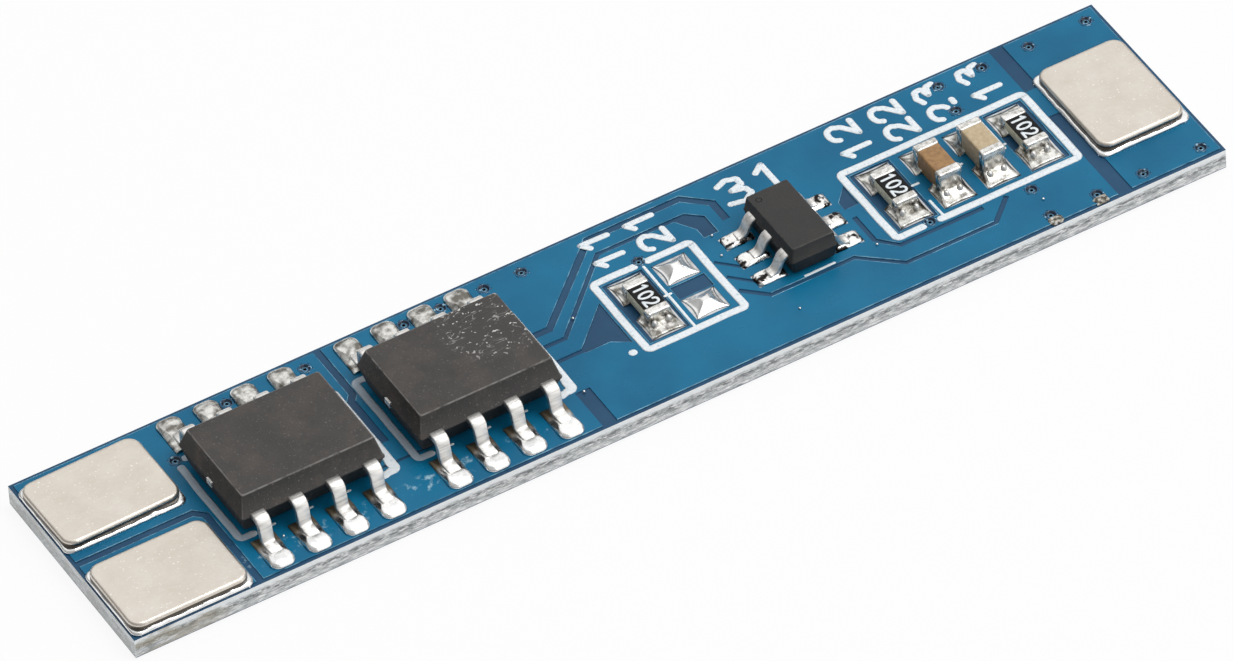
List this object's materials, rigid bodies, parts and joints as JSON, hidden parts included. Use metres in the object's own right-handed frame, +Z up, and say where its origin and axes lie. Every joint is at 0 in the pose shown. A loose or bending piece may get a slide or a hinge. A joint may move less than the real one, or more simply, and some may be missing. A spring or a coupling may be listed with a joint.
{
  "type": "battery protection board",
  "caption": "Narrow circuit board that guards a rechargeable battery, with power transistors, a control circuit, small chip parts and nickel tabs for the cell straps.",
  "frame": {"origin": "centre of the underside", "axes": "+X along the board towards the end with the single tab, +Y across it towards the edge behind the transistors, +Z up out of the side with the parts"},
  "size_m": [0.0378, 0.0076, 0.0024],
  "materials": {
    "laminate": "rough sawn glass laminate, grey-white",
    "copper": "bright etched copper foil",
    "solder_mask": "smooth glossy blue mask, lighter over the copper",
    "white_ink": "flat white printing ink",
    "nickel": "satin nickel strip",
    "solder": "bright reflowed solder",
    "tinned_lead": "satin tin plating",
    "mould_compound": "finely grained charcoal moulding compound",
    "resistor_ceramic": "fired white ceramic",
    "resistor_glaze": "glossy black glaze",
    "capacitor_ceramic": "fired brown ceramic",
    "capacitor_ceramic_pale": "fired beige ceramic"
  },
  "bodies": {
    "root": {"board_core": "laminate", "capacitor_1_pad_solder": "solder", "capacitor_2_ceramic": "capacitor_ceramic", "capacitor_2_end_caps": "solder", "capacitor_2_solder": "solder", "capacitor_3_ceramic": "capacitor_ceramic_pale", "capacitor_3_end_caps": "solder", "capacitor_3_solder": "solder", "control_ic_body": "mould_compound", "control_ic_left_leads": "tinned_lead", "control_ic_left_solder": "solder", "control_ic_right_leads": "tinned_lead", "control_ic_right_solder": "solder", "copper_bottom": "copper", "copper_top": "copper", "front_left_tab": "nickel", "front_left_tab_solder": "solder", "left_mosfet_body": "mould_compound", "left_mosfet_front_leads": "tinned_lead", "left_mosfet_front_solder": "solder", "left_mosfet_rear_leads": "tinned_lead", "left_mosfet_rear_solder": "solder", "left_mosfet_tie_bars": "tinned_lead", "rear_left_tab": "nickel", "rear_left_tab_solder": "solder", "resistor_1_ceramic": "resistor_ceramic", "resistor_1_end_caps": "solder", "resistor_1_glaze": "resistor_glaze", "resistor_1_solder": "solder", "resistor_2_ceramic": "resistor_ceramic", "resistor_2_end_caps": "solder", "resistor_2_glaze": "resistor_glaze", "resistor_2_solder": "solder", "resistor_3_ceramic": "resistor_ceramic", "resistor_3_end_caps": "solder", "resistor_3_glaze": "resistor_glaze", "resistor_3_solder": "solder", "right_mosfet_body": "mould_compound", "right_mosfet_front_leads": "tinned_lead", "right_mosfet_front_solder": "solder", "right_mosfet_rear_leads": "tinned_lead", "right_mosfet_rear_solder": "solder", "right_mosfet_tie_bars": "tinned_lead", "right_tab": "nickel", "right_tab_solder": "solder", "silkscreen_outlines": "white_ink", "solder_mask_bottom": "solder_mask", "solder_mask_top": "solder_mask", "via_barrels": "copper"}
  },
  "joints": []
}
